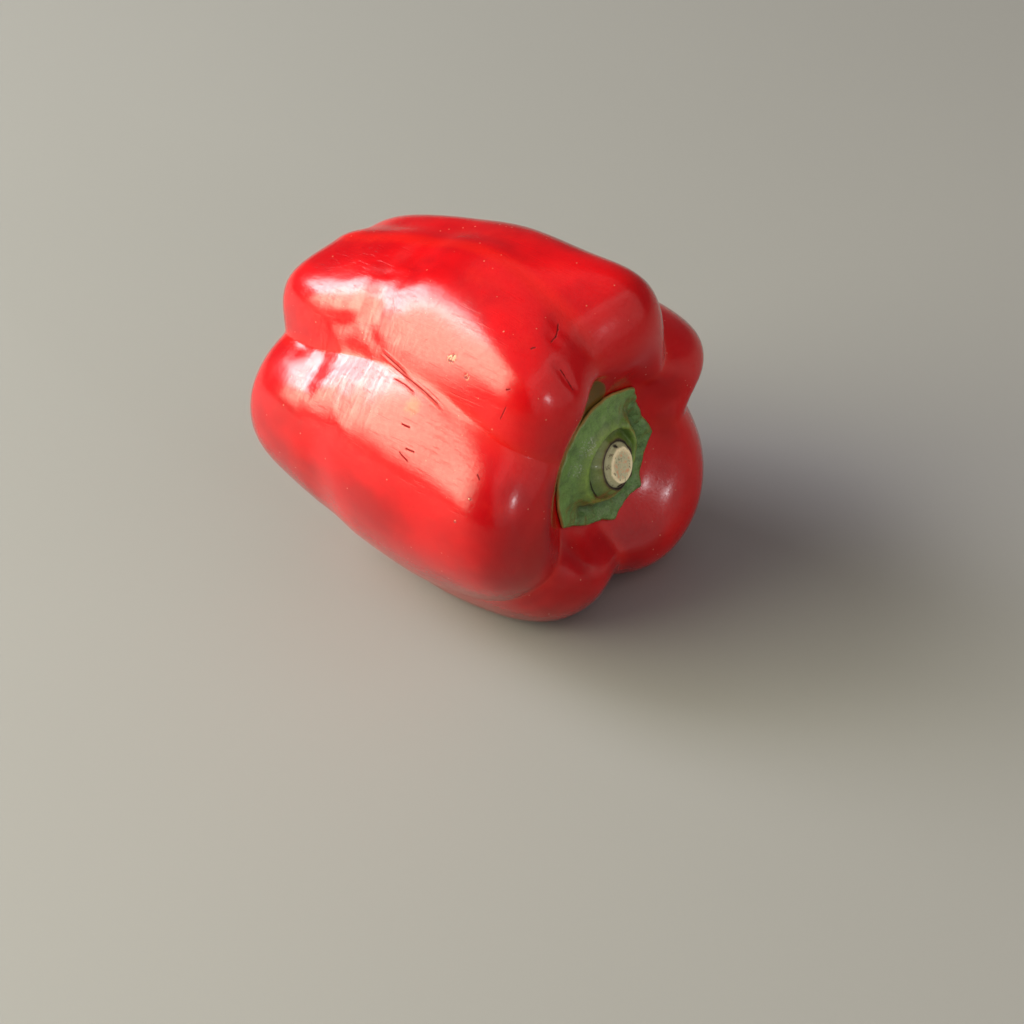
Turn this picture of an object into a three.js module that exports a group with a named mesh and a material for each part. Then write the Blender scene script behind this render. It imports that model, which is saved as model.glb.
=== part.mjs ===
// A blocky bell pepper lying on its side, in millimetres, +Z up.
//
// The pepper's own axis runs along X, with the blossom end at -X and the stem end at +X. The fruit is
// one closed skin that runs from the blossom end's pole to the bottom of the hollow at the stem end.
// Six lobes and the six grooves between them go round the axis, and the skin's lines follow both.
// The calyx is a leathery green star that lies in the hollow, one piece with the cut stub of the stem.
import * as THREE from "three";

// Driving dimensions, measured from the pepper's axis.
const DIMPLE_REACH = 36; // bottom of the dimple at the blossom end
const SEAT_REACH = 30; // bottom of the hollow at the stem end
const SEAT_RADIUS = 18.5; // how wide the bottom of the hollow is
const REST_HEIGHT = 38; // from the axis down to the surface that the pepper lies on
const TURN_REACH = 40; // where the lobes have finished turning round the axis

// The grooves and the lobes in turn, counted round the axis from the front groove over the underside.
// turn: angle in degrees at the blossom end, at the belly and at the stem end (0 is +Y, 90 is +Z).
// belly, shoulder, tail: distance from the axis at the middle, at the stem end and at the blossom end.
// stemReach, tipReach: how far the skin goes along the axis towards each end.
// sharp: 1 is an open hollow, 2 is a wide one with a flat bottom.
const GROOVES = [
  { turn: [147, 139, 148], belly: 40.8, shoulder: 35.5, stemReach: 35.5, tail: 30, tipReach: 44.5, sharp: 1.25 },
  { turn: [224, 226, 212], belly: 42, shoulder: 38.2, stemReach: 36.2, tail: 28.5, tipReach: 41, sharp: 1.1 },
  { turn: [276, 272, 271], belly: 36, shoulder: 33.5, stemReach: 36.5, tail: 30, tipReach: 40, sharp: 1.4 },
  { turn: [366, 366, 365], belly: 36, shoulder: 31, stemReach: 35, tail: 28, tipReach: 40, sharp: 1.4 },
  { turn: [414, 410, 408], belly: 37, shoulder: 32, stemReach: 34.5, tail: 28, tipReach: 40, sharp: 1.4 },
  { turn: [462, 455, 462], belly: 45.3, shoulder: 38.5, stemReach: 34, tail: 34.8, tipReach: 43.5, sharp: 1.6 },
];
const LOBES = [
  { turn: [179, 183, 181], belly: 44.3, shoulder: 42.3, stemReach: 38.5, tail: 37.8, tipReach: 46.3 },
  { turn: [248, 244, 239], belly: 45, shoulder: 37.1, stemReach: 39.8, tail: 33, tipReach: 42 },
  { turn: [310, 302, 306], belly: 46.6, shoulder: 41.2, stemReach: 40.5, tail: 37, tipReach: 43 },
  { turn: [382, 381, 379], belly: 42, shoulder: 38.9, stemReach: 36, tail: 32, tipReach: 43 },
  { turn: [444, 439, 437], belly: 45, shoulder: 43.8, stemReach: 37.2, tail: 33, tipReach: 42 },
  { turn: [485, 471, 486], belly: 45.2, shoulder: 41, stemReach: 37, tail: 35.2, tipReach: 47 },
];

// Shallow waists that cross a lobe: place along the axis, lobe phase of the middle, its spread, depth.
const WAIST_WIDTH = 5;
const WAIST_FADE = 30; // distance from the axis at which a waist has its full depth
const WAISTS = [
  { x: -13, phase: 5.25, spread: 0.55, depth: 1.3 },
  { x: -17, phase: 0.55, spread: 0.3, depth: 0.8 },
];

// The calyx's outline from the stem end: the angle and radius of each tooth or corner, and how far the
// edge that follows it bows out.
const TEETH = [
  { angle: -48, radius: 18.2, bow: -0.4 },
  { angle: -4, radius: 17.5, bow: -0.2 },
  { angle: 57, radius: 17.8, bow: 1.3 },
  { angle: 110, radius: 16.6, bow: 0.9 },
  { angle: 159, radius: 17, bow: 0.8 },
  { angle: 213, radius: 18, bow: 0.8 },
  { angle: 280, radius: 18, bow: -0.4 },
];
const CALYX_CLEARANCE = 0.6; // along the axis, between the flesh and the calyx
const CALYX_EDGE = 1; // thickness of the rim
const CALYX_FLARE = 0.35; // how far the band stands above the rim, just inside it
// From the crease up to the dome: place along the axis, and radius.
const DOME = [
  [31.3, 12.8],
  [32.6, 11.2],
  [33.9, 9.9],
  [34.5, 8.5],
];

// The stub leans away from the axis, and its cut is not quite square to it.
const STEM_FOOT = new THREE.Vector3(31, -0.6, -0.6);
const STEM_LEAN = new THREE.Vector3(0.95, 0.13, 0.24).normalize();
const STEM_CUT = new THREE.Vector3(0.952, 0.105, 0.287).normalize();
// Where the stub spreads into the dome: height above its foot, radius, and share of the lean it has.
const STUB_FOOT = [
  [2.9, 8.1, 0.6],
  [3.2, 7.5, 0.8],
];
// The stub's rim, the lip, the sunk ring inside it and the raised disc: height above the foot, and radius.
const STUB_CUT = [
  [4.2, 6.4],
  [4.9, 5.9],
  [5.2, 5.5],
  [4.9, 5.2],
  [5, 5],
  [6.3, 4.2],
  [6.35, 3.4],
  [6, 0],
];

// Faces round and along each piece.
const FRUIT_COLUMNS = 84;
const FRUIT_ROWS = 38;
const CALYX_COLUMNS = 72;
const CALYX_ROWS = 26;

const HOLLOW_START = 0.7; // share of the skin's lines by which they have gone over the shoulder
const HALVINGS = 30; // steps that find a place in the hollow

const AXIS = new THREE.Vector3(1, 0, 0);
const COUNT = LOBES.length;
const degrees = THREE.MathUtils.degToRad;
const hump = (x) => Math.exp(-x * x);

// A step from 0 to 1 that starts and ends without a change of curvature.
function ease(x) {
  const s = THREE.MathUtils.clamp(x, 0, 1);
  return s * s * s * (s * (6 * s - 15) + 10);
}

// The four weights of a uniform cubic B-spline at f between its two middle points.
function splineWeights(f) {
  const g = 1 - f;
  const sixths = [g ** 3, 3 * f ** 3 - 6 * f ** 2 + 4, 3 * g ** 3 - 6 * g ** 2 + 4, f ** 3];
  return sixths.map((w) => w / 6);
}

// A point at share t of the spline through a list of vectors, its first and last being beyond the ends.
function splinePoint(points, t) {
  const spans = points.length - 3;
  const along = THREE.MathUtils.clamp(t * spans, 0, spans - 1e-9);
  const first = Math.floor(along);
  const result = points[0].clone().multiplyScalar(0);
  splineWeights(along - first).forEach((w, k) => result.addScaledVector(points[first + k], w));
  return result;
}

// Angle of the skin's line at a phase (0 is the first groove, 0.5 the first lobe's crest) for one of the
// three stations. A smooth curve goes through the angles of all the grooves and crests.
function lineAngle(phase, station) {
  const knot = (i) => {
    const lap = Math.floor(i / (2 * COUNT));
    const j = i - 2 * COUNT * lap;
    const row = j % 2 === 0 ? GROOVES[j / 2] : LOBES[(j - 1) / 2];
    return row.turn[station] + 360 * lap;
  };
  const control = (i) => (8 * knot(i) - knot(i - 1) - knot(i + 1)) / 6;
  const first = Math.floor(2 * phase);
  return splineWeights(2 * phase - first).reduce((sum, w, k) => sum + w * control(first + k - 1), 0);
}

// The sizes of the skin's line at a phase: the groove's on either side, rising to the lobe's at its crest.
function lineSizes(phase) {
  const k = Math.floor(phase) % COUNT;
  const share = phase - Math.floor(phase);
  const here = GROOVES[k];
  const next = GROOVES[(k + 1) % COUNT];
  const lobe = LOBES[k];
  const step = ease(share);
  const rise = Math.sin(Math.PI * share) ** THREE.MathUtils.lerp(here.sharp, next.sharp, step);
  const size = (key) => {
    const low = THREE.MathUtils.lerp(here[key], next[key], step);
    return THREE.MathUtils.lerp(low, lobe[key], rise);
  };
  return {
    belly: size("belly"),
    shoulder: size("shoulder"),
    stemReach: size("stemReach"),
    tail: size("tail"),
    tipReach: size("tipReach"),
  };
}

// The skin's line at a phase, as spline points of (along the axis, away from the axis): from the dimple's
// pole, round the tail, along the belly, over the shoulder and down into the hollow at the stem end.
function skinLine(phase) {
  const s = lineSizes(phase);
  const line = [
    [-DIMPLE_REACH, 0],
    [-DIMPLE_REACH - 0.2 * (s.tipReach - DIMPLE_REACH), 0.3 * s.tail],
    [-s.tipReach, 0.62 * s.tail],
    [-0.98 * s.tipReach, 1.02 * s.tail],
    [-0.55 * s.tipReach, 0.45 * s.tail + 0.55 * s.belly],
    [0, s.belly],
    [0.5 * s.stemReach, 0.2 * s.shoulder + 0.8 * s.belly],
    [0.9 * s.stemReach, 1.04 * s.shoulder],
    [1.06 * s.stemReach, 0.76 * s.shoulder],
    [0.86 * s.stemReach + 0.14 * SEAT_REACH, 0.55 * SEAT_RADIUS + 0.32 * s.shoulder],
    [1.05 * SEAT_REACH, SEAT_RADIUS],
    [SEAT_REACH - 1, 0.55 * SEAT_RADIUS],
    [SEAT_REACH - 1, 0],
  ].map(([x, r]) => new THREE.Vector2(x, r));
  const mirrored = (p) => new THREE.Vector2(p.x, -p.y);
  return [mirrored(line[1]), ...line, mirrored(line[line.length - 2])];
}

// A point of the fruit's skin, at share t of the line at a phase.
function skinPoint(line, phase, t) {
  const { x, y: away } = splinePoint(line, t);
  const turns = [0, 1, 2].map((station) => lineAngle(phase, station));
  const angle = degrees(
    turns[1] + (turns[2] - turns[1]) * ease(x / TURN_REACH) + (turns[0] - turns[1]) * ease(-x / TURN_REACH),
  );
  let radius = away;
  for (const waist of WAISTS) {
    const apart = THREE.MathUtils.euclideanModulo(phase - waist.phase + COUNT / 2, COUNT) - COUNT / 2;
    const depth = waist.depth * ease(away / WAIST_FADE);
    radius -= depth * hump((x - waist.x) / WAIST_WIDTH) * hump(apart / waist.spread);
  }
  return new THREE.Vector3(x, radius * Math.cos(angle), radius * Math.sin(angle));
}

// The calyx's radius at an angle in degrees: straight between two teeth, plus the bow of that edge.
function calyxRadius(angle) {
  for (let i = 0; i < TEETH.length; i += 1) {
    const from = TEETH[i];
    const to = TEETH[(i + 1) % TEETH.length];
    const span = THREE.MathUtils.euclideanModulo(to.angle - from.angle, 360);
    const past = THREE.MathUtils.euclideanModulo(angle - from.angle, 360);
    if (past < span) {
      const straight =
        (from.radius * to.radius * Math.sin(degrees(span))) /
        (from.radius * Math.sin(degrees(past)) + to.radius * Math.sin(degrees(span - past)));
      return straight + from.bow * Math.sin((Math.PI * past) / span);
    }
  }
  return 0;
}

// The place in the hollow where a skin line crosses a share of the calyx's outline. The radius falls
// steadily from the shoulder to the pole, so halving finds it.
function seatPoint(line, phase, share) {
  let outer = HOLLOW_START;
  let inner = 1;
  for (let i = 0; i < HALVINGS; i += 1) {
    const middle = (outer + inner) / 2;
    const p = skinPoint(line, phase, middle);
    const outline = share * calyxRadius(THREE.MathUtils.radToDeg(Math.atan2(p.z, p.y)));
    if (Math.hypot(p.y, p.z) > outline) {
      outer = middle;
    } else {
      inner = middle;
    }
  }
  return skinPoint(line, phase, inner);
}

// A point on a ring round the stem: height up the stub, radius, and how far the ring has turned from
// square to the axis towards square to a direction.
function stemPoint(angle, height, radius, direction, turned) {
  const normal = AXIS.clone().lerp(direction, turned).normalize();
  const across = new THREE.Vector3(0, 1, 0).projectOnPlane(normal).normalize();
  const upward = normal.clone().cross(across);
  return STEM_FOOT.clone()
    .addScaledVector(STEM_LEAN, height)
    .addScaledVector(across, radius * Math.cos(angle))
    .addScaledVector(upward, radius * Math.sin(angle));
}

// The calyx and stub along one line: from the middle of the underside out along the flesh to the rim,
// back over the flared band and the crease to the dome, and up the stub to the middle of its cut.
function calyxLine(phase) {
  const line = skinLine(phase);
  const rim = seatPoint(line, phase, 1);
  const angle = Math.atan2(rim.z, rim.y);
  const flat = (x, radius) => new THREE.Vector3(x, radius * Math.cos(angle), radius * Math.sin(angle));
  const over = (share, lift) => seatPoint(line, phase, share).addScaledVector(AXIS, CALYX_CLEARANCE + lift);
  const underside = SEAT_REACH - 1 + CALYX_CLEARANCE;
  const points = [
    flat(underside, 0),
    flat(underside, 5),
    over(0.72, 0),
    over(0.86, 0),
    over(1, 0.1),
    over(1, CALYX_EDGE),
    over(0.97, CALYX_EDGE + CALYX_FLARE),
    over(0.86, CALYX_EDGE + 0.2),
    ...DOME.map(([x, radius]) => flat(x, radius)),
    ...STUB_FOOT.map(([height, radius, turned]) => stemPoint(angle, height, radius, STEM_LEAN, turned)),
    ...STUB_CUT.map(([height, radius]) => stemPoint(angle, height, radius, STEM_CUT, 1)),
  ];
  const beyond = (end, inner) => end.clone().multiplyScalar(2).sub(inner);
  const last = points.length - 1;
  return [beyond(points[0], points[1]), ...points, beyond(points[last], points[last - 1])];
}

// A closed skin with a pole at each end. pointAt(column, share) gives the point of a column at a share of
// the way from the first pole to the last.
function closedSkin(columns, rows, pointAt) {
  const corners = [pointAt(0, 0)];
  for (let row = 1; row < rows; row += 1) {
    for (let column = 0; column < columns; column += 1) {
      corners.push(pointAt(column, row / rows));
    }
  }
  corners.push(pointAt(0, 1));
  const last = corners.length - 1;
  const corner = (row, column) => 1 + (row - 1) * columns + (column % columns);
  const faces = [];
  for (let column = 0; column < columns; column += 1) {
    faces.push(0, corner(1, column + 1), corner(1, column));
    for (let row = 1; row < rows - 1; row += 1) {
      const [a, b] = [corner(row, column), corner(row, column + 1)];
      const [c, d] = [corner(row + 1, column), corner(row + 1, column + 1)];
      faces.push(a, b, d, a, d, c);
    }
    faces.push(last, corner(rows - 1, column), corner(rows - 1, column + 1));
  }
  const geometry = new THREE.BufferGeometry().setFromPoints(corners);
  geometry.setIndex(faces);
  geometry.computeVertexNormals();
  return geometry;
}

function fruitGeometry() {
  const phases = Array.from({ length: FRUIT_COLUMNS }, (_, column) => (column / FRUIT_COLUMNS) * COUNT);
  const lines = phases.map(skinLine);
  return closedSkin(FRUIT_COLUMNS, FRUIT_ROWS, (column, share) => {
    const point = skinPoint(lines[column], phases[column], share);
    // The lobes are pressed flat where they meet the surface below.
    point.z = Math.max(point.z, -REST_HEIGHT);
    return point;
  });
}

function calyxGeometry() {
  const phases = Array.from({ length: CALYX_COLUMNS }, (_, column) => (column / CALYX_COLUMNS) * COUNT);
  const lines = phases.map(calyxLine);
  return closedSkin(CALYX_COLUMNS, CALYX_ROWS, (column, share) => splinePoint(lines[column], share));
}

function piece(name, geometry, color, roughness) {
  const mesh = new THREE.Mesh(geometry, new THREE.MeshStandardMaterial({ color, roughness, metalness: 0 }));
  mesh.name = name;
  return mesh;
}

const group = new THREE.Group();
group.add(piece("fruit", fruitGeometry(), 0xb3121a, 0.18));
group.add(piece("calyx_stem", calyxGeometry(), 0x4a6a2e, 0.45));

// The origin is on the surface below, under the middle of the pepper.
const box = new THREE.Box3().setFromObject(group);
group.position.set(-(box.min.x + box.max.x) / 2, -(box.min.y + box.max.y) / 2, REST_HEIGHT);

export default group;
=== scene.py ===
import math

import bpy
import numpy as np
from mathutils import Matrix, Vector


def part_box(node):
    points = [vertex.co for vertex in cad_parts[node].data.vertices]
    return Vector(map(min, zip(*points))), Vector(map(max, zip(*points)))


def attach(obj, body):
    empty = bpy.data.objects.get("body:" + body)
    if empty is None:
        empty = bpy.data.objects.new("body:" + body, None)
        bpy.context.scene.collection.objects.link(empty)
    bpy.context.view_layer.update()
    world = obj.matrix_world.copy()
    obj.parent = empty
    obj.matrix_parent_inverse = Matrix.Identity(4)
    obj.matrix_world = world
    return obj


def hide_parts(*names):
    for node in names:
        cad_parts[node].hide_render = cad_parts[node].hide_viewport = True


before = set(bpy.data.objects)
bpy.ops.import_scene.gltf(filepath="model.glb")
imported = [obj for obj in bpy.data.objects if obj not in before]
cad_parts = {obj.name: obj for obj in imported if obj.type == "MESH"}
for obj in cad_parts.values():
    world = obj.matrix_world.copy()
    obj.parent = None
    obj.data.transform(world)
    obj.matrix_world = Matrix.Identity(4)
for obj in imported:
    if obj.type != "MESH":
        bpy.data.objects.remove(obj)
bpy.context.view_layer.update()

# Millimetres until a mesh is made. The pepper's own axis runs along X, with the blossom end at -X and
# the stem end at +X, and the surface that it lies on is REST_HEIGHT below the axis.
MM = 0.001
DIMPLE_REACH = 36.0
SEAT_REACH = 30.0
SEAT_RADIUS = 18.5
REST_HEIGHT = 38.0
TURN_REACH = 40.0

# Grooves and lobes in turn, from the front groove over the underside. Each row is the angle at the
# blossom end, belly and stem end (degrees, 0 is +Y, 90 is +Z), then belly radius, shoulder radius,
# shoulder reach, tail radius and tail reach, and for a groove how flat its bottom is.
GROOVES = [
    (147, 139, 148, 40.8, 35.5, 35.5, 30.0, 44.5, 1.25),
    (224, 226, 212, 42.0, 38.2, 36.2, 28.5, 41.0, 1.1),
    (276, 272, 271, 36.0, 33.5, 36.5, 30.0, 40.0, 1.4),
    (366, 366, 365, 36.0, 31.0, 35.0, 28.0, 40.0, 1.4),
    (414, 410, 408, 37.0, 32.0, 34.5, 28.0, 40.0, 1.4),
    (462, 455, 462, 45.3, 38.5, 34.0, 34.8, 43.5, 1.6),
]
LOBES = [
    (179, 183, 181, 44.3, 42.3, 38.5, 37.8, 46.3),
    (248, 244, 239, 45.0, 37.1, 39.8, 33.0, 42.0),
    (310, 302, 306, 46.6, 41.2, 40.5, 37.0, 43.0),
    (382, 381, 379, 42.0, 38.9, 36.0, 32.0, 43.0),
    (444, 439, 437, 45.0, 43.8, 37.2, 33.0, 42.0),
    (485, 471, 486, 45.2, 41.0, 37.0, 35.2, 47.0),
]
COUNT = len(LOBES)

# Shallow waists that cross a lobe: place along the axis, phase of the middle, its spread, depth.
WAIST_WIDTH = 5.0
WAISTS = [(-13.0, 5.25, 0.55, 1.3), (-17.0, 0.55, 0.3, 0.8)]

# The calyx's teeth and corners: angle, radius, and how far the edge that follows bows out.
TEETH = [
    (-48, 18.2, -0.4),
    (-4, 17.5, -0.2),
    (57, 17.8, 1.3),
    (110, 16.6, 0.9),
    (159, 17.0, 0.8),
    (213, 18.0, 0.8),
    (280, 18.0, -0.4),
]
CALYX_EDGE = 1.0
RIB_SPREAD = 7.0
STEM_FOOT = np.array([31.0, -0.6, -0.6])
STEM_LEAN = np.array([0.95, 0.13, 0.24]) / np.linalg.norm([0.95, 0.13, 0.24])
STEM_CUT = np.array([0.952, 0.105, 0.287]) / np.linalg.norm([0.952, 0.105, 0.287])
STEM_RADIUS = 5.9

# The solids' own grid, which fixes where the pepper's axis is in the frame.
CAD_COLUMNS = 84
CAD_ROWS = 38

# Points round and along each finished surface.
FRUIT_COLUMNS = 520
FRUIT_ROWS = 188
CALYX_COLUMNS = 420
CALYX_ROWS = 220


def ease(x):
    """A step from 0 to 1, as 6x^5 - 15x^4 + 10x^3, which keeps its curvature at both ends."""
    s = np.clip(x, 0, 1)
    return s * s * s * (s * (6 * s - 15) + 10)


def hump(x):
    """A bell: e to the power of minus x squared."""
    return np.exp(-x * x)


def spline_weights(f):
    """The four weights of a uniform cubic B-spline at f between its two middle points."""
    g = 1 - f
    return np.array([g**3, 3 * f**3 - 6 * f**2 + 4, 3 * g**3 - 6 * g**2 + 4, f**3]) / 6


def along_spline(rows, t):
    """Rows of points of the B-spline through control rows, whose first and last lie beyond the ends."""
    spans = len(rows) - 3
    reach = np.clip(t * spans, 0, spans - 1e-9)
    first = reach.astype(int)
    weights = spline_weights(reach - first).reshape((4, -1) + (1,) * (rows.ndim - 1))
    return sum(weights[k] * rows[first + k] for k in range(4))


def line_angle(phase, station):
    """Angle of the skin's lines at a phase: a B-spline round the axis that goes through the angles of
    all grooves and crests, each control being (8 a - the two neighbours) / 6."""
    knots = np.array([[groove[station], lobe[station]] for groove, lobe in zip(GROOVES, LOBES)]).ravel()
    index = np.arange(-3, 2 * COUNT + 4)
    lap = index // (2 * COUNT)
    angles = knots[index % (2 * COUNT)] + 360.0 * lap
    controls = (8 * angles[1:-1] - angles[:-2] - angles[2:]) / 6
    first = np.floor(2 * phase).astype(int)
    weights = spline_weights(2 * phase - first)
    return sum(weights[k] * controls[first + k + 1] for k in range(4))


def line_sizes(phase):
    """Belly, shoulder, shoulder reach, tail and tail reach of the lines at a phase: the value of the two
    grooves, eased from one to the other, rises to the lobe's by a sine to the power of its flatness."""
    here = np.floor(phase).astype(int) % COUNT
    after = (here + 1) % COUNT
    share = phase - np.floor(phase)
    groove = np.array([row[3:8] for row in GROOVES])
    flat = np.array([row[8] for row in GROOVES])
    lobe = np.array([row[3:8] for row in LOBES])
    step = ease(share)
    rise = np.sin(np.pi * share) ** (flat[here] + (flat[after] - flat[here]) * step)
    low = groove[here] + (groove[after] - groove[here]) * step[:, None]
    return (low + (lobe[here] - low) * rise[:, None]).T, rise


def skin(phase, t):
    """The fruit's skin, rows by columns of points. Each column is a B-spline of (along the axis, away
    from it) from the dimple's pole over the tail, belly and shoulder to the bottom of the hollow, and
    turns round the axis as its angle at the three stations says. Waists are bells taken off the radius."""
    (belly, shoulder, shoulder_reach, tail, tail_reach), _ = line_sizes(phase)
    nought = np.zeros_like(belly)
    controls = [
        (-DIMPLE_REACH, 0),
        (-DIMPLE_REACH - 0.2 * (tail_reach - DIMPLE_REACH), 0.3 * tail),
        (-tail_reach, 0.62 * tail),
        (-0.98 * tail_reach, 1.02 * tail),
        (-0.55 * tail_reach, 0.45 * tail + 0.55 * belly),
        (0, belly),
        (0.5 * shoulder_reach, 0.2 * shoulder + 0.8 * belly),
        (0.9 * shoulder_reach, 1.04 * shoulder),
        (1.06 * shoulder_reach, 0.76 * shoulder),
        (0.86 * shoulder_reach + 0.14 * SEAT_REACH, 0.55 * SEAT_RADIUS + 0.32 * shoulder),
        (1.05 * SEAT_REACH, SEAT_RADIUS),
        (SEAT_REACH - 1, 0.55 * SEAT_RADIUS),
        (SEAT_REACH - 1, 0),
    ]
    rows = np.array([[x + nought, r + nought] for x, r in controls])
    mirror = np.array([[1.0], [-1.0]])
    rows = np.concatenate([[rows[1] * mirror], rows, [rows[-2] * mirror]])
    placed = along_spline(rows, t)
    x = placed[:, 0]
    radius = placed[:, 1]
    blossom, middle, stem = (line_angle(phase, station) for station in range(3))
    angle = middle + (stem - middle) * ease(x / TURN_REACH) + (blossom - middle) * ease(-x / TURN_REACH)
    angle = np.radians(angle)
    fade = ease(radius / 30)
    for where, centre, spread, depth in WAISTS:
        apart = (phase - centre + COUNT / 2) % COUNT - COUNT / 2
        radius = radius - depth * hump((x - where) / WAIST_WIDTH) * hump(apart / spread) * fade
    return np.stack([x, radius * np.cos(angle), radius * np.sin(angle)], axis=-1)


def even_phases(columns):
    """Phases of evenly spread columns."""
    return np.arange(columns) / columns * COUNT


def packed_phases(columns, spread=0.12, extra=4.0):
    """Phases of columns that crowd towards the front groove, by the running sum of 1 plus a bell there."""
    phase = even_phases(4000)
    apart = (phase + COUNT / 2) % COUNT - COUNT / 2
    total = np.concatenate([[0], np.cumsum(1 + extra * hump(apart / spread))])
    return np.interp(np.arange(columns) / columns, total / total[-1], np.append(phase, COUNT))


def outward(points):
    """Unit normals of a closed ring of columns, from the differences round it and along it."""
    around = np.roll(points, -1, axis=1) - np.roll(points, 1, axis=1)
    along = np.gradient(points, axis=0)
    normal = np.cross(around, along)
    length = np.linalg.norm(normal, axis=-1, keepdims=True)
    return normal / np.maximum(length, 1e-9)


def swells(points, seed, shortest, longest, waves, size):
    """Soft lumps: a sum of plane sine waves through space, with seeded directions and phases, whose
    height grows with their length. size is the height of the longest."""
    draw = np.random.default_rng(seed)
    height = np.zeros(points.shape[:-1])
    for length in np.geomspace(shortest, longest, waves):
        heading = draw.normal(size=3)
        heading = heading / np.linalg.norm(heading)
        turn = draw.uniform(0, 2 * np.pi)
        height += size * (length / longest) * np.sin(2 * np.pi * (points @ heading) / length + turn)
    return height


# Marks on the skin, placed by phase and by millimetres along the axis.
GROOVE_ARC = 40.0  # millimetres of skin to one lobe near a groove
# A strip along the front groove is sunk in: its middle and half width in millimetres from the
# groove, its depth, and where it starts and ends along the axis.
SUNK_PLACE = 0.8
SUNK_WIDTH = 2.4
SUNK_DEPTH = 0.25
SUNK_START = -20.0
SUNK_END = 22.0
POCKET_ANGLE = 108.0
POCKET_SPREAD = 14.0
POCKET_RADIUS = 22.5
POCKET_WIDTH = 4.0
POCKET_DEPTH = 2.2
# Dents and bumps: phase, along the axis, radius, height.
DENTS = [
    (0.098, -24.4, 3.6, -0.75),
    (0.19, -19.0, 3.0, 0.25),
    (0.02, -31.0, 3.0, -0.5),
    (0.3, -30.0, 4.5, 0.2),
    (5.46, -16.6, 2.0, -0.3),
    (5.42, -13.0, 1.7, 0.22),
    (5.4, -9.4, 1.9, -0.34),
    (5.82, -21.0, 3.5, -0.35),
    (0.13, -7.0, 3.5, -0.35),
    (5.10, 27.2, 2.4, -0.3),
    (5.2, 28.5, 2.0, -0.25),
    (5.32, 33.6, 1.6, -0.3),
    (5.35, 35.6, 1.3, -0.3),
]


def pocket(points):
    """1 in the corner of the hollow above the calyx, where the flesh is drawn in deepest, 0 elsewhere:
    bells of the angle and of the distance from the axis, at the stem end only."""
    away = np.hypot(points[..., 1], points[..., 2])
    side = np.degrees(np.arctan2(points[..., 2], points[..., 1]))
    around = hump((side - POCKET_ANGLE) / POCKET_SPREAD)
    return around * hump((away - POCKET_RADIUS) / POCKET_WIDTH) * ease((points[..., 0] - 24) / 6)


def relief(phase, points):
    """Height of the skin's small forms, in millimetres: long soft swells everywhere, short ones round
    the waist, a sunk strip along the front groove, a pocket in the hollow, and round dents."""
    x = points[..., 0]
    wrapped = (phase + COUNT / 2) % COUNT - COUNT / 2
    height = swells(points, seed=11, shortest=14, longest=42, waves=14, size=0.08)
    waist = hump((x + 17) / 13) * hump((wrapped + 0.15) / 0.6)
    height += waist * swells(points, seed=5, shortest=2.6, longest=6.5, waves=16, size=0.035)
    height -= POCKET_DEPTH * pocket(points)
    sunk = ease((x - SUNK_START) / 9) * (1 - ease((x - SUNK_END + 9) / 9))
    height -= SUNK_DEPTH * sunk * hump((wrapped * GROOVE_ARC - SUNK_PLACE) / SUNK_WIDTH)
    for centre, where, size, rise in DENTS:
        apart = (phase - centre + COUNT / 2) % COUNT - COUNT / 2
        height += rise * hump(np.hypot(apart * GROOVE_ARC, x - where) / size)
    return height


def solid_mesh(name, points, attributes):
    """A closed mesh from rows by columns of points in metres, whose first and last rows are poles, with
    a number on each point for every attribute."""
    rows, columns, _ = points.shape
    ring = np.arange(columns)
    after = (ring + 1) % columns
    starts = 1 + np.arange(rows - 3)[:, None] * columns
    above = starts + columns
    quads = np.stack([starts + ring, starts + after, above + after, above + ring], axis=-1)
    last = 1 + (rows - 2) * columns
    foot = np.stack([np.zeros_like(ring), 1 + after, 1 + ring], axis=-1)
    top = np.stack([np.full_like(ring, last), last - columns + ring, last - columns + after], axis=-1)
    faces = foot.tolist() + quads.reshape(-1, 4).tolist() + top.tolist()

    def unrolled(values):
        between = values[1:-1].reshape((-1,) + values.shape[2:])
        return np.concatenate([values[0, :1], between, values[-1, :1]])

    mesh = bpy.data.meshes.new(name)
    mesh.from_pydata(unrolled(points).tolist(), [], faces)
    mesh.shade_smooth()
    for label, values in attributes.items():
        layer = mesh.attributes.new(label, "FLOAT", "POINT")
        layer.data.foreach_set("value", unrolled(values).astype(np.float32))
    piece = bpy.data.objects.new(name, mesh)
    bpy.context.scene.collection.objects.link(piece)
    return piece


# The pepper's axis in the frame: the CAD fruit's low corner against the same skin on the CAD's grid.
cad_skin = skin(even_phases(CAD_COLUMNS), np.linspace(0, 1, CAD_ROWS + 1))
AXIS_POINT = np.array(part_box("fruit")[0]) / MM - cad_skin.min(axis=(0, 1))
AXIS_POINT[2] = REST_HEIGHT


def to_frame(points):
    """From millimetres on the pepper's axis to metres in the frame, nothing below the surface."""
    placed = points + AXIS_POINT
    placed[..., 2] = np.maximum(placed[..., 2], 0)
    return placed * MM


# Creases in the skin, each along the axis: points as (phase, x), half width and depth in millimetres,
# and how strong the painted shade along the middle is.
CREASES = [
    ([(5.952, -8.3), (5.982, -3.1), (6.013, 2.6)], 0.34, 0.11, 0.65),
    ([(5.988, -6.2), (6.008, 0.0), (6.020, 4.3), (6.035, 10.1), (6.046, 14.5)], 0.31, 0.10, 0.6),
    ([(6.036, -2.6), (6.041, 1.7), (6.055, 6.0)], 0.34, 0.10, 0.55),
    ([(5.60, -15.5), (5.745, -12.2), (5.88, -8.8)], 1.2, 0.035, 0.1),
    ([(5.575, -10.8), (5.735, -9.8), (5.86, -7.8)], 1.1, 0.03, 0.1),
]
CREASE_TAPER = 0.22


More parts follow.
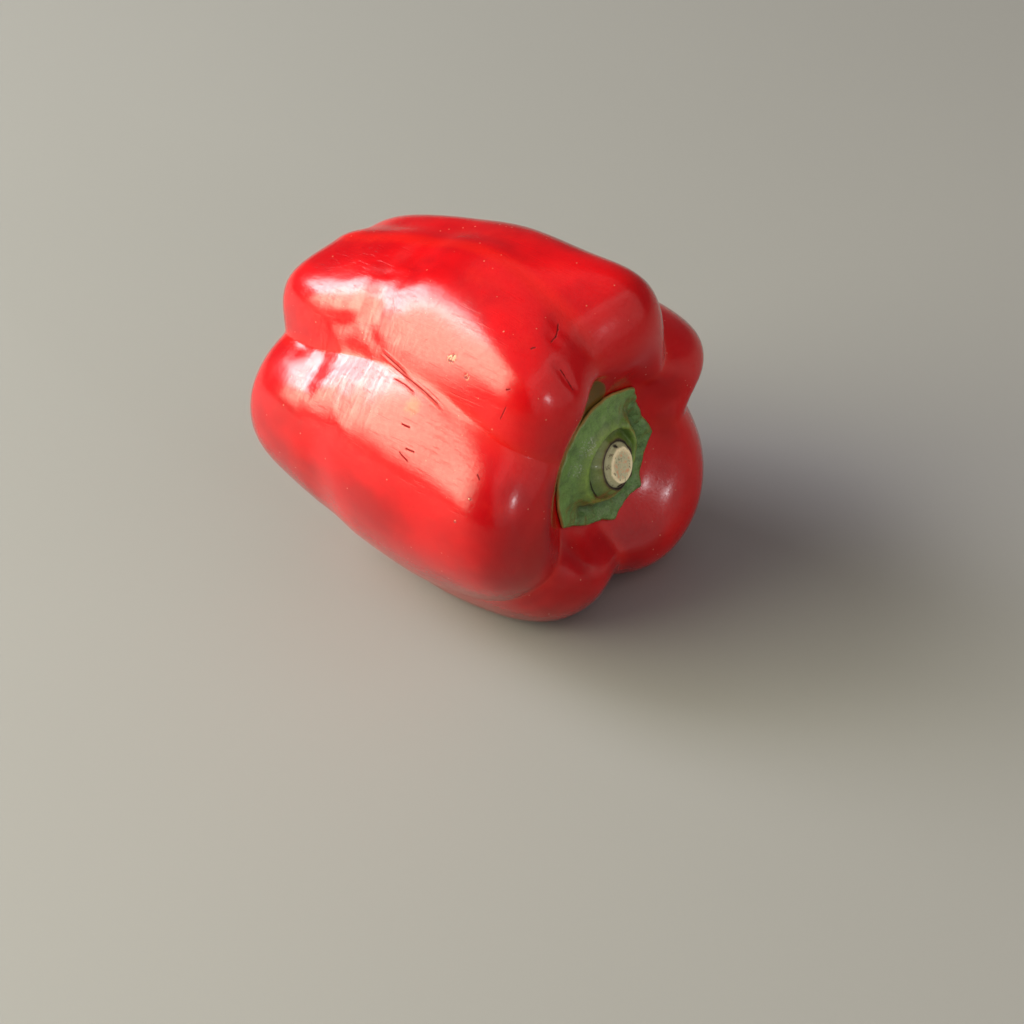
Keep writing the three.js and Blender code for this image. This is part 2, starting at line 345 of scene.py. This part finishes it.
def crease_coordinates(phase, x, points, width):
    """Half widths from a crease's line, with the side as sign, and the crease's share of its full depth,
    which is 0 at its ends and 1 once it has run CREASE_TAPER of its length."""
    phases, places = np.array(points).T
    run = places[-1] - places[0]
    lean = math.cos(math.atan2((phases[-1] - phases[0]) * GROOVE_ARC, run))
    unrolled = np.where(phase < COUNT / 2, phase + COUNT, phase)
    across = (unrolled - np.interp(x, places, phases)) * GROOVE_ARC * lean / width
    share = (x - places[0]) / run
    return across, ease(share / CREASE_TAPER) * ease((1 - share) / CREASE_TAPER)


def make_fruit():
    """The red fruit: the skin with its relief raised along the normals. The groove attribute is 1 in a
    groove and 0 on a crest, hollow is 1 at the bottom of the stem end, and each crease has its two."""
    phase = packed_phases(FRUIT_COLUMNS)
    t = np.linspace(0, 1, FRUIT_ROWS)
    plain = skin(phase, t)
    calm = np.minimum(t, 1 - t)[:, None] / 0.05
    raised = plain + outward(plain) * (relief(phase, plain) * ease(calm))[..., None]
    _, rise = line_sizes(phase)
    groove = np.broadcast_to(1 - rise, plain.shape[:2])
    away = np.hypot(plain[..., 1], plain[..., 2])
    side = np.degrees(np.arctan2(plain[..., 2], plain[..., 1]))
    # The olive flesh goes out to this far from the axis, furthest in the upper front corner.
    reach = 16.5 + 3 * ease((side - 84) / 14) + 7 * hump((side - 112) / 12)
    hollow = ease((plain[..., 0] - 20) / 8) * (1 - ease((away - reach) / 4))
    hollow = hollow * (1 - ease((np.abs(side - 135) - 30) / 35))
    attributes = {"groove": groove, "hollow": hollow}
    for number, (points, width, _, _) in enumerate(CREASES):
        across, left = crease_coordinates(phase, plain[..., 0], points, width)
        attributes[f"across_{number}"] = across
        attributes[f"left_{number}"] = left
    return solid_mesh("pepper_fruit", to_frame(raised), attributes)


def calyx_radius(angle):
    """The calyx's outline: straight from tooth to tooth, plus a sine bow, plus small seeded nibbles."""
    degrees = np.degrees(angle)
    radius = np.zeros_like(degrees)
    for i, (start, from_radius, bow) in enumerate(TEETH):
        end, to_radius, _ = TEETH[(i + 1) % len(TEETH)]
        span = (end - start) % 360
        past = (degrees - start) % 360
        inside = past < span
        a = np.radians(past[inside])
        b = np.radians(span) - a
        chord = from_radius * to_radius * np.sin(a + b) / (from_radius * np.sin(a) + to_radius * np.sin(b))
        radius[inside] = chord + bow * np.sin(np.pi * past[inside] / span)
    draw = np.random.default_rng(3)
    for cycles in (9, 13, 19, 27, 41):
        radius += 0.9 / cycles * np.sin(cycles * angle + draw.uniform(0, 2 * np.pi))
    return radius


def seat(phase, share):
    """Where each skin line crosses a share of the calyx's outline inside the hollow, found on a fine
    run of points from the shoulder to the pole, with a straight step between the two nearest."""
    bowl = skin(phase, np.linspace(0.7, 1, 400))
    away = np.hypot(bowl[..., 1], bowl[..., 2])
    beyond = away - share * calyx_radius(np.arctan2(bowl[..., 2], bowl[..., 1]))
    inner = np.clip(np.argmax(beyond <= 0, axis=0), 1, None)
    column = np.arange(len(phase))
    near = beyond[inner, column]
    far = beyond[inner - 1, column]
    step = (far / (far - near))[:, None]
    return bowl[inner - 1, column] + (bowl[inner, column] - bowl[inner - 1, column]) * step


def make_calyx():
    """The calyx and stub, each column a B-spline from the middle of the underside out along the flesh to
    the rim, back over the flared band and the crease to the dome, and up the stub to the middle of its
    cut. The station attribute counts the control rows passed, from 0 to 21."""
    phase = even_phases(CALYX_COLUMNS)
    rim = seat(phase, 1.0)
    angle = np.arctan2(rim[:, 2], rim[:, 1])
    along = np.array([1.0, 0.0, 0.0])
    crease = ease((np.cos(angle + np.radians(45)) + 0.7) / 1.1)

    def flat(x, radius):
        return np.stack([x + 0 * angle, radius * np.cos(angle), radius * np.sin(angle)], axis=-1)

    def over(share, lift):
        return seat(phase, share) + along * (lift + 0 * angle)[:, None]

    def ring(height, radius, direction, turned):
        normal = along * (1 - turned) + direction * turned
        normal = normal / np.linalg.norm(normal)
        across = np.array([0.0, 1.0, 0.0]) - normal[1] * normal
        across = across / np.linalg.norm(across)
        upward = np.cross(normal, across)
        spokes = np.outer(np.cos(angle), across) + np.outer(np.sin(angle), upward)
        return STEM_FOOT + height * STEM_LEAN + radius * spokes

    def cut(height, radius):
        return ring(height, radius, STEM_CUT, 1)

    underside = SEAT_REACH - 1
    # Heights and radii in millimetres. First the underside, out along the flesh to the rim.
    rows = [
        flat(underside, 0),
        flat(underside, 5),
        over(0.72, -0.1),
        over(0.86, -0.1),
        over(1, -0.2),
        # The edge, and the band that flares over the hollow.
        over(1, CALYX_EDGE),
        over(0.97, CALYX_EDGE + 0.35),
        over(0.86, CALYX_EDGE + 0.2 + 0.7 * (1 - crease)),
        # The crease, which is only on the lower right, and the dome.
        flat(30.4 + 2.2 * (1 - crease), 12.8 - 1.2 * crease),
        flat(32.5 + 0.6 * (1 - crease), 11.4 - 1.1 * crease),
        flat(33.9, 9.9 - 0.5 * crease),
        flat(34.5, 8.5),
        # The stub, from its foot to its lip.
        ring(2.9, STEM_RADIUS + 2.2, STEM_LEAN, 0.6),
        ring(3.2, STEM_RADIUS + 1.6, STEM_LEAN, 0.8),
        cut(4.2, STEM_RADIUS + 0.5),
        cut(4.9, STEM_RADIUS),
        # The lip, the groove of the dried ring, and the cut.
        cut(5.2, STEM_RADIUS - 0.4),
        cut(4.9, STEM_RADIUS - 0.7),
        cut(5, STEM_RADIUS - 0.9),
        cut(6.3, 4.2),
        cut(6.35, 3.4),
        cut(6, 0),
    ]
    rows = np.array(rows)
    rows = np.concatenate([[2 * rows[0] - rows[1]], rows, [2 * rows[-1] - rows[-2]]])
    t = np.linspace(0, 1, CALYX_ROWS)
    plain = along_spline(rows, t)
    station = np.broadcast_to((t * (len(rows) - 3))[:, None], plain.shape[:2])
    # Soft ribs run from the dome to each tooth, and the whole upper face is slightly lumpy.
    upper = ease((station - 4.5) / 1.5) * (1 - ease((station - 10) / 2))
    ribs = np.zeros_like(angle)
    for tooth, _, _ in TEETH:
        apart = (np.degrees(angle) - tooth + 180) % 360 - 180
        ribs += hump(apart / RIB_SPREAD)
    lumps = (0.04 + 0.05 * crease) * swells(plain, seed=8, shortest=1.6, longest=5.5, waves=16, size=1.0)
    stub = ease((station - 11) / 2) * (1 - ease((station - 15) / 2))
    flutes = 0.12 * np.sin(7 * angle + 1) + 0.08 * np.sin(12 * angle)
    lift = upper * (crease * 0.28 * ribs + lumps) + stub * (flutes + 0.5 * lumps)
    raised = plain + outward(plain) * lift[..., None]
    folded = np.broadcast_to(crease, plain.shape[:2])
    return solid_mesh("pepper_calyx_stem", to_frame(raised), {"station": station, "folded": folded})


class Value:
    """A number in a material. A sum or product written with it adds its Math node."""

    def __init__(self, finish, socket):
        self.finish = finish
        self.socket = socket

    def math(self, operation, *others):
        inputs = dict(enumerate((self, *others)))
        return self.finish.node("ShaderNodeMath", {"operation": operation}, inputs)

    def __add__(self, other):
        return self.math("ADD", other)

    __radd__ = __add__

    def __mul__(self, other):
        return self.math("MULTIPLY", other)

    __rmul__ = __mul__

    def __sub__(self, other):
        return self.math("SUBTRACT", other)

    def __rsub__(self, other):
        return self.finish.number(other).math("SUBTRACT", self)

    def __truediv__(self, other):
        return self.math("DIVIDE", other)

    def __pow__(self, other):
        return self.math("POWER", other)


class Finish:
    """A material under construction."""

    def __init__(self, name):
        self.material = bpy.data.materials.new(name)
        self.material.use_nodes = True
        self.tree = self.material.node_tree
        self.tree.nodes.clear()

    def node(self, kind, settings=None, inputs=None, output=None):
        """Adds a node: its settings first (stops are a colour ramp's), then its sockets, by name or by
        number. Returns its named output, or the first that is in use."""
        made = self.tree.nodes.new(kind)
        for key, setting in (settings or {}).items():
            if key == "stops":
                ramp = made.color_ramp
                while len(ramp.elements) < len(setting):
                    ramp.elements.new(0.5)
                for element, (position, colour) in zip(ramp.elements, setting):
                    element.position = position
                    element.color = (*colour, 1)
            else:
                setattr(made, key, setting)
        for key, value in (inputs or {}).items():
            live = [s for s in made.inputs if s.enabled]
            socket = live[key] if isinstance(key, int) else next(s for s in live if s.name == key)
            if isinstance(value, Value):
                self.tree.links.new(value.socket, socket)
            else:
                socket.default_value = value
        live = [s for s in made.outputs if s.enabled]
        chosen = next((s for s in live if s.name == output), live[0] if live else None)
        return Value(self, chosen)

    def number(self, value):
        if isinstance(value, Value):
            return value
        return self.node("ShaderNodeMath", {"operation": "ADD"}, {0: value, 1: 0.0})

    def attribute(self, name):
        return self.node("ShaderNodeAttribute", {"attribute_name": name}, output="Fac")

    def place(self):
        return self.node("ShaderNodeTexCoord", output="Object")

    def stretched(self, vector, x, y, z):
        """A vector with each part multiplied by its own number."""
        return self.vector("MULTIPLY", vector, (x, y, z))

    def noise(self, vector, size, detail=2.0, roughness=0.5, output="Fac"):
        """Smooth noise whose features are size metres across."""
        inputs = {"Vector": vector, "Scale": 1 / size, "Detail": detail, "Roughness": roughness}
        return self.node("ShaderNodeTexNoise", {}, inputs, output)

    def cells(self, vector, size):
        """Distance to the nearest of random points about size metres apart, as a share of that size."""
        inputs = {"Vector": vector, "Scale": 1 / size}
        return self.node("ShaderNodeTexVoronoi", {"feature": "F1"}, inputs, "Distance")

    def step(self, value, low, high):
        """0 below low, 1 above high, eased between; low above high turns it round."""
        inputs = {"Value": value, "From Min": low, "From Max": high}
        return self.node("ShaderNodeMapRange", {"interpolation_type": "SMOOTHSTEP"}, inputs)

    def bell(self, value, centre, width):
        """1 at centre, 0 at width to either side, eased."""
        apart = (value - centre).math("ABSOLUTE")
        return self.step(apart, width, 0.0)

    def vector(self, operation, first, second, output=None):
        """A Vector Math node of two vectors."""
        return self.node("ShaderNodeVectorMath", {"operation": operation}, {0: first, 1: second}, output)

    def mix(self, share, first, second):
        settings = {"data_type": "RGBA", "clamp_factor": True}
        colours = {}
        for key, colour in (("A", first), ("B", second)):
            colours[key] = colour if isinstance(colour, Value) else (*colour, 1)
        return self.node("ShaderNodeMix", settings, {"Factor": share, **colours})

    def distance(self, vector, point):
        """Millimetres from a point that is given in metres."""
        return self.vector("DISTANCE", vector, tuple(point), "Value") / MM

    def bump(self, height):
        """Normal of a height given in millimetres."""
        return self.node("ShaderNodeBump", {}, {"Strength": 1.0, "Distance": MM, "Height": height})

    def finish(self, **sockets):
        """Ends the material in one Principled shader, with its sockets by name."""
        inputs = {}
        for key, value in sockets.items():
            inputs[key.replace("_", " ").title().replace("Ior", "IOR")] = value
        shader = self.node("ShaderNodeBsdfPrincipled", {}, inputs)
        self.node("ShaderNodeOutputMaterial", {}, {"Surface": shader})
        return self.material


def skin_point(phase, x):
    """The point of the fruit's surface at a phase, where its line passes x between tail and shoulder."""
    beside = (phase + np.array([-0.01, 0.0, 0.01])) % COUNT
    lines = skin(beside, np.linspace(0.2, 0.66, 600))
    line = (lines + outward(lines) * relief(beside, lines)[..., None])[:, 1]
    return to_frame(line[np.argmin(np.abs(line[:, 0] - x))])


# Slits in the skin: (phase, x) of both ends, and half width in millimetres.
SLITS = [
    ((0.173, 5.7), (0.171, 7.7), 0.28),
    ((0.24, 8.9), (0.236, 11.0), 0.28),
    ((0.262, 7.7), (0.275, 10.2), 0.24),
    ((0.177, 26.9), (0.19, 27.8), 0.25),
    ((5.69, 26.9), (5.675, 27.6), 0.34),
    ((5.785, 27.7), (5.87, 27.0), 0.20),
    ((5.082, 26.6), (5.115, 27.4), 0.25),
    ((5.115, 27.4), (5.167, 28.3), 0.28),
    ((5.167, 28.3), (5.228, 28.6), 0.28),
    ((5.35, 27.3), (5.375, 27.0), 0.34),
    ((5.317, 33.2), (5.363, 36.2), 0.24),
]
# Rough corky spots: phase, x and radius in millimetres.
CORKY = [(5.83, 11.1, 1.5), (5.838, 16.5, 1.0), (0.28, 27.6, 0.5), (0.39, 25.4, 0.4)]


def segment_distance(finish, place, start, end):
    """Distance in millimetres from a segment: the point less the start, less its share of the run held
    between 0 and 1."""
    run = end - start
    offset = finish.vector("SUBTRACT", place, tuple(start))
    share = finish.vector("DOT_PRODUCT", offset, tuple(run / (run @ run)), "Value")
    held = share.math("MAXIMUM", 0.0).math("MINIMUM", 1.0)
    spot = finish.node("ShaderNodeVectorMath", {"operation": "SCALE"}, {0: tuple(run), "Scale": held})
    return finish.vector("DISTANCE", offset, spot, "Value") / MM


def pepper_skin():
    """Waxy red skin: two reds in soft patches, warmer in the grooves and olive in the hollow, with pale
    specks, creases, slits and pits whose middles are darkened with painted shade, corky nicks with
    painted shade in their low parts, and fine scratches and cross wrinkles that break the gloss. Sizes
    of noise are in metres, and distances and heights in millimetres."""
    f = Finish("pepper_skin")
    place = f.place()
    groove = f.attribute("groove")
    hollow = f.attribute("hollow")
    red = (0.48, 0.0014, 0.0032)
    deep = (0.32, 0.0006, 0.0026)
    warm = (0.50, 0.008, 0.003)
    olive = (0.098, 0.060, 0.008)
    cork = (0.62, 0.38, 0.24)
    # Painted shade: the dark red put in pits and in the low parts of corky spots.
    recess_shade_red = (0.08, 0.003, 0.003)
    # Painted shade: the dark red put in the middles of creases and slits.
    crease_shade_red = (0.12, 0.003, 0.003)
    bruised = (0.26, 0.055, 0.004)
    pale = (0.50, 0.17, 0.10)
    brown = (0.09, 0.035, 0.012)

    patches = f.noise(place, 0.022, detail=3, roughness=0.55)
    colour = f.mix(f.step(patches, 0.40, 0.68), red, deep)
    mottle = f.noise(place, 0.007, detail=4, roughness=0.6)
    colour = f.mix(f.step(mottle, 0.50, 0.78) * 0.35, colour, warm)
    colour = f.mix(f.step(groove, 0.80, 1.0) * 0.45, colour, warm)
    jitter = f.noise(place, 0.0011, detail=3, roughness=0.7) - 0.5
    greenish = f.step(hollow + jitter * 0.2, 0.40, 0.75)
    colour = f.mix(greenish, colour, olive)
    bruise = f.distance(place, skin_point(0.098, 6.2)) + jitter * 3
    colour = f.mix(f.step(bruise, 2.8, 0.6) * 0.8, colour, bruised)

    # Cross wrinkles are noise drawn out round the axis, scratches are noise drawn out along it.
    near_waist = f.step(f.distance(place, skin_point(0.02, -15.0)), 24.0, 8.0)
    wrinkles = f.noise(f.stretched(place, 1.0, 0.12, 0.12), 0.0010, detail=3, roughness=0.6)
    scratches = f.noise(f.stretched(place, 0.05, 1.0, 1.0), 0.0006, detail=2, roughness=0.6)
    lines = f.step(scratches, 0.57, 0.68)
    grain = f.noise(place, 0.0007, detail=3, roughness=0.65)
    worn = f.step(f.noise(place, 0.016, detail=2), 0.40, 0.66)
    height = wrinkles * (0.02 + 0.02 * worn + 0.08 * near_waist)
    height = height + scratches * 0.03 * (1.3 - worn) - lines * 0.02 * (1.2 - worn) + grain * 0.03
    colour = f.mix(f.step(grain, 0.50, 0.66) * 0.16, colour, deep)

    # The wax is thicker in grains and in streaks across the waist, and the scratches go through it.
    wax = 0.22 + 0.20 * f.step(grain, 0.60, 0.42) + 0.40 * near_waist * f.step(wrinkles, 0.42, 0.64)
    wax = wax * (1.0 - 0.5 * lines)

    # Pale specks, one in some of the cells of a fine mesh of random points, and pits near scars, darkened
    # with painted shade.
    cells = f.cells(place, 0.0025)
    chosen = f.step(f.noise(place, 0.005, detail=1), 0.50, 0.58)
    specks = f.step(cells, 0.095, 0.05) * chosen
    colour = f.mix(specks * 0.6, colour, pale)
    height = height + specks * 0.03
    small = f.cells(place, 0.0017)
    scarred = f.step(f.distance(place, skin_point(5.84, 13.5)), 10.0, 2.0)
    scarred = scarred + f.step(f.distance(place, skin_point(0.15, 22.0)), 6.0, 1.0)
    scarred = scarred + f.step(f.distance(place, skin_point(5.80, 2.5)), 5.0, 1.0)
    pits = f.step(small, 0.13, 0.07) * f.step(f.noise(place, 0.0025, detail=1), 0.50, 0.60) * scarred
    colour = f.mix(pits * 0.7, colour, recess_shade_red)
    height = height - pits * 0.06

    dull = specks * 0.3
    # Painted shade: the middle of each crease is darkened towards the dark red, as shade in the fold.
    for number, (_, _, depth, shade_strength) in enumerate(CREASES):
        across = f.attribute(f"across_{number}").math("ABSOLUTE") + jitter * 0.44
        left = f.attribute(f"left_{number}")
        fold = f.step(across, 1.0, 0.0) * depth - f.bell(across, 1.6, 0.8) * (depth * 0.6)
        height = height - fold * left
        core = f.step(across, 0.75, 0.15) * left * shade_strength
        colour = f.mix(core, colour, crease_shade_red)
        dull = dull + core * 2.0

    # Painted shade: the middle of each slit is darkened towards the same dark red, as shade in the cut.
    for start, end, width in SLITS:
        apart = segment_distance(f, place, skin_point(*start), skin_point(*end))
        edge = apart / width + jitter * 1.6
        core = f.step(edge, 0.9, 0.2)
        height = height - core * 0.11
        colour = f.mix(core * 0.8, colour, crease_shade_red)
        dull = dull + core * 2.0

    # The scar that the flower left, in the middle of the blossom end.
    tip = f.distance(place, to_frame(np.array([-DIMPLE_REACH, 0.0, 0.0]))) + jitter * 2.0
    colour = f.mix(f.step(tip, 2.8, 1.4) * 0.8, colour, cork)
    colour = f.mix(f.step(tip, 1.5, 0.6), colour, brown)
    height = height - f.step(tip, 2.2, 0.6) * 0.3

    corky = f.number(0.0)
    for phase, x, radius in CORKY:
        away = f.distance(place, skin_point(phase, x)) + jitter * 1.6
        corky = corky + f.step(away, radius, 0.5 * radius)
    colour = f.mix(corky * f.step(grain, 0.50, 0.57), colour, cork)
    # Painted shade: the sunk parts of the corky spots are darkened towards the dark red.
    colour = f.mix(corky * f.step(grain, 0.47, 0.42) * 0.8, colour, recess_shade_red)
    height = height + corky * (grain - 0.5) * 0.7
    dull = dull + corky * 0.4
    rough = 0.20 + 0.07 * f.step(mottle, 0.35, 0.75) + 0.15 * greenish + dull.math("MINIMUM", 1.5) * 0.5
    normal = f.bump(height)
    return f.finish(
        base_color=colour,
        roughness=rough,
        normal=normal,
        ior=1.34,
        coat_weight=wax * (1.0 - dull.math("MINIMUM", 1.0)),
        coat_roughness=0.17,
    )


# Stations of the calyx's rows: rim, band, crease, dome, foot of the stub, lip, ring, cortex, disc.
LAST_STATION = 21


def calyx_green():
    """Leathery green: yellow-green dome, darker blue-green band with a pale edge, green stub with a
    brown lip, a black dried ring, pale cork, and a cream disc with a mottled middle."""
    f = Finish("calyx_green")
    place = f.place()
    station = f.attribute("station")
    folded = f.attribute("folded")
    smooth_green = (0.130, 0.280, 0.056)
    deep_green = (0.022, 0.069, 0.019)
    pore_green = (0.020, 0.060, 0.012)
    freckle = (0.184, 0.264, 0.096)
    # Painted highlight: the pale colour of the glints on the dome.
    glint_green = (0.46, 0.58, 0.42)
    warm_pith = (0.66, 0.40, 0.22)
    pale_pith = (0.70, 0.70, 0.46)
    cork_fleck = (0.110, 0.095, 0.050)
    scar_black = (0.010, 0.006, 0.004)
    # Painted shade: the black of the split at the stub's foot.
    split_shade = (0.006, 0.005, 0.003)
    # The colour at each station, from the middle of the underside to the middle of the cut.
    shares = [
        (0.0, (0.080, 0.096, 0.024)),
        (4.2, (0.096, 0.112, 0.024)),
        (4.7, (0.420, 0.260, 0.080)),
        (5.2, (0.230, 0.260, 0.070)),
        (5.8, (0.120, 0.262, 0.066)),
        (7.2, (0.100, 0.238, 0.060)),
        # Painted shade: the dark stop at the crease, which shows where the band is folded.
        (8.3, (0.030, 0.083, 0.019)),
        (9.2, (0.090, 0.190, 0.034)),
        (10.6, (0.190, 0.340, 0.052)),
        (11.8, (0.090, 0.175, 0.026)),
        (12.6, (0.070, 0.140, 0.020)),
        (13.8, (0.125, 0.200, 0.034)),
        (14.8, (0.150, 0.200, 0.044)),
        (15.4, (0.090, 0.072, 0.024)),
        (15.9, (0.016, 0.010, 0.006)),
        (16.9, (0.012, 0.008, 0.006)),
        (17.4, (0.300, 0.320, 0.180)),
        (18.3, (0.480, 0.520, 0.310)),
        (18.9, (0.400, 0.430, 0.240)),
        (19.3, (0.880, 0.840, 0.540)),
        (19.8, (0.800, 0.770, 0.480)),
        (20.1, (0.520, 0.560, 0.350)),
    ]
    jitter = (f.noise(place, 0.0016, detail=3, roughness=0.6) - 0.5) * 0.9
    shifted = (station + jitter) / LAST_STATION
    stops = [(value / LAST_STATION, colour) for value, colour in shares]
    colour = f.node("ShaderNodeValToRGB", {"stops": stops}, {"Fac": shifted})

    mottle = f.noise(place, 0.0030, detail=4, roughness=0.6)
    smooth = f.step(station, 5.2, 6.0) * f.step(station, 9.6, 8.6) * (1.0 - folded)
    colour = f.mix(smooth, colour, smooth_green)
    green = f.step(station, 5.0, 6.0) * f.step(station, 15.0, 14.0)
    colour = f.mix(f.step(mottle, 0.45, 0.75) * green * 0.55, colour, deep_green)
    freckles = f.noise(place, 0.0007, detail=2)
    colour = f.mix(f.step(freckles, 0.62, 0.75) * green * 0.35, colour, freckle)

    # The cut: warm blotches and short spokes in the pith, dark scars above and below the disc.
    cut = f.step(station, 19.6, 20.2)
    blotch = f.noise(place, 0.0012, detail=4, roughness=0.65)
    colour = f.mix(cut * f.step(blotch, 0.48, 0.60), colour, warm_pith)
    colour = f.mix(cut * f.step(blotch, 0.44, 0.34), colour, pale_pith)
    flecks = f.step(station, 17.3, 17.8) * f.step(blotch, 0.43, 0.36)
    colour = f.mix(flecks * 0.7, colour, cork_fleck)
    middle = STEM_FOOT + 5.6 * STEM_LEAN
    upward = np.cross(STEM_CUT, (0.0, 1.0, 0.0))
    upward = upward / np.linalg.norm(upward)
    ring = f.step(station, 17.3, 17.8) * f.step(station, 19.4, 18.9)
    for side, size in ((1.0, 0.3), (-1.0, 2.0)):
        spot = to_frame(middle + upward * side * 4.6)
        near = f.distance(place, spot)
        scar = ring * f.step(near + jitter * 2, size + 0.7, size)
        colour = f.mix(scar, colour, scar_black)

    # A thin split where the stub's foot meets the dome, on the front lower side, blackened with painted
    # shade.
    foot = to_frame(STEM_FOOT + 3.0 * STEM_LEAN + np.array([0.0, -6.2, -3.4]))
    split = f.bell(station + jitter * 0.35, 12.15, 0.28)
    split = split * f.step(f.distance(place, foot), 4.2, 3.2)
    colour = f.mix(split, colour, split_shade)

    leather = f.noise(place, 0.0013, detail=4, roughness=0.65)
    pores = f.noise(place, 0.00045, detail=2, roughness=0.6)
    band = f.step(station, 9.0, 8.0) * folded
    height = leather * (0.16 + 0.75 * band) * green + pores * (0.10 + 0.14 * smooth)
    cork = f.step(station, 17.0, 17.6)
    height = height + cork * (blotch * 0.30 + pores * 0.10) - split * 0.5
    rough = 0.22 + 0.20 * mottle + cork * 0.30
    # Painted highlights: pale glinting specks put into the colour on the front of the dome.
    for spot, radius in (((33.0, -7.3, 8.4), 3.4), ((32.5, -11.2, 3.6), 3.0)):
        near = f.distance(place, to_frame(np.array(spot))) + jitter
        glint = f.step(near, radius, 0.3 * radius) * f.step(pores, 0.53, 0.62)
        colour = f.mix(glint * 0.7, colour, glint_green)
    cells = f.step(pores, 0.42, 0.60)
    colour = f.mix(cells * 0.22 * green, colour, pore_green)
    return f.finish(
        base_color=colour,
        roughness=rough,
        normal=f.bump(height),
        ior=1.45,
        coat_weight=0.6 * green,
        coat_roughness=0.16,
    )


fruit = make_fruit()
fruit.data.materials.append(pepper_skin())
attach(fruit, "root")
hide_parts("fruit")

calyx = make_calyx()
calyx.data.materials.append(calyx_green())
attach(calyx, "root")
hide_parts("calyx_stem")


def heading(azimuth, elevation):
    """Unit vector towards a viewpoint: azimuth 0 is in front at -Y and turns towards +X."""
    a = math.radians(azimuth)
    e = math.radians(elevation)
    return np.array([math.sin(a) * math.cos(e), -math.cos(a) * math.cos(e), math.sin(e)])


def look(thing, place, forward):
    """Puts a camera or light at a place, facing forward, its own up as near to +Z as it can be."""
    right = np.cross(forward, (0.0, 0.0, 1.0))
    right = right / np.linalg.norm(right)
    up = np.cross(right, forward)
    matrix = np.eye(4)
    matrix[:3, 0] = right
    matrix[:3, 1] = up
    matrix[:3, 2] = -forward
    matrix[:3, 3] = place
    thing.matrix_world = Matrix(matrix.tolist())


# The camera looks at the pepper's axis from this side. The axis point is not in the middle of the
# picture but at this pixel, and one millimetre there is this many pixels.
PICTURE = 1024
AXIS_PIXEL = (494, 408)
PIXELS_PER_MM = 1 / 0.2286
CAMERA_DISTANCE = 650.0
SENSOR = 36.0
CAMERA_AZIMUTH = 40
CAMERA_ELEVATION = 35


def make_camera():
    """A long lens. Its forward direction is turned so that the axis point falls on its pixel."""
    back = heading(CAMERA_AZIMUTH, CAMERA_ELEVATION)
    focal = CAMERA_DISTANCE * PIXELS_PER_MM
    right = np.cross(-back, (0.0, 0.0, 1.0))
    right = right / np.linalg.norm(right)
    up = np.cross(right, -back)
    shift_right = (AXIS_PIXEL[0] - PICTURE / 2) / focal
    shift_up = (PICTURE / 2 - AXIS_PIXEL[1]) / focal
    forward = -back - shift_right * right - shift_up * up
    forward = forward / np.linalg.norm(forward)
    data = bpy.data.cameras.new("camera")
    data.sensor_width = SENSOR
    data.lens = SENSOR * focal / PICTURE
    camera = bpy.data.objects.new("camera", data)
    bpy.context.scene.collection.objects.link(camera)
    look(camera, (AXIS_POINT + CAMERA_DISTANCE * back) * MM, forward)
    bpy.context.scene.camera = camera


# Panels of light: name, azimuth and elevation in degrees, width and height in metres, radiance, colour,
# and distance in metres.
DAYLIGHT = (0.97, 0.96, 1.0)
LOW_SUN = (0.95, 0.93, 0.68)
PANELS = [
    ("bright_window", -71, 36, (0.62, 0.74), 9.0, DAYLIGHT, 1.3),
    ("bright_pane", -69, 33, (0.42, 0.52), 8.0, DAYLIGHT, 1.3),
    ("warm_window", -36, 30, (1.25, 1.20), 4.5, LOW_SUN, 1.34),
    ("warm_pane", -37, 30, (0.92, 0.87), 7.0, LOW_SUN, 1.3),
    ("small_window", 74, 19, (0.06, 0.11), 70.0, (0.95, 0.96, 1.0), 1.3),
    ("side_wall", 85, 25, (3.0, 2.4), 0.75, (1.0, 0.74, 0.68), 1.4),
    ("ceiling", 0, 88, (2.6, 2.6), 0.30, (1.0, 0.98, 0.96), 1.6),
]


def make_panel(name, azimuth, elevation, size, brightness, colour, distance):
    """A soft rectangular light that faces the pepper. Brightness is its radiance, so its power is
    radiance times pi times its area."""
    data = bpy.data.lights.new(name, "AREA")
    data.shape = "RECTANGLE"
    data.size = size[0]
    data.size_y = size[1]
    data.energy = brightness * math.pi * size[0] * size[1]
    data.color = colour
    panel = bpy.data.objects.new(name, data)
    bpy.context.scene.collection.objects.link(panel)
    towards = heading(azimuth, elevation)
    look(panel, AXIS_POINT * MM + distance * towards, -towards)


def make_floor():
    """A plain pale floor, a wide disc under the pepper."""
    turn = np.linspace(0, 2 * np.pi, 96, endpoint=False)
    rim = np.stack([6 * np.cos(turn), 6 * np.sin(turn), 0 * turn], axis=-1)
    mesh = bpy.data.meshes.new("floor")
    mesh.from_pydata(rim.tolist(), [], [list(range(96))])
    floor = bpy.data.objects.new("floor", mesh)
    bpy.context.scene.collection.objects.link(floor)
    f = Finish("floor")
    cloudy = f.noise(f.place(), 0.25, detail=2)
    colour = f.mix(cloudy, (0.215, 0.214, 0.208), (0.232, 0.230, 0.224))
    mesh.materials.append(f.finish(base_color=colour, roughness=0.62))


def make_world():
    world = bpy.data.worlds.new("world")
    world.use_nodes = True
    background = world.node_tree.nodes["Background"]
    background.inputs["Color"].default_value = (0.80, 0.84, 0.90, 1)
    background.inputs["Strength"].default_value = 0.10
    bpy.context.scene.world = world


make_camera()
for panel in PANELS:
    make_panel(*panel)
make_floor()
make_world()
bpy.context.scene.view_settings.view_transform = "Standard"
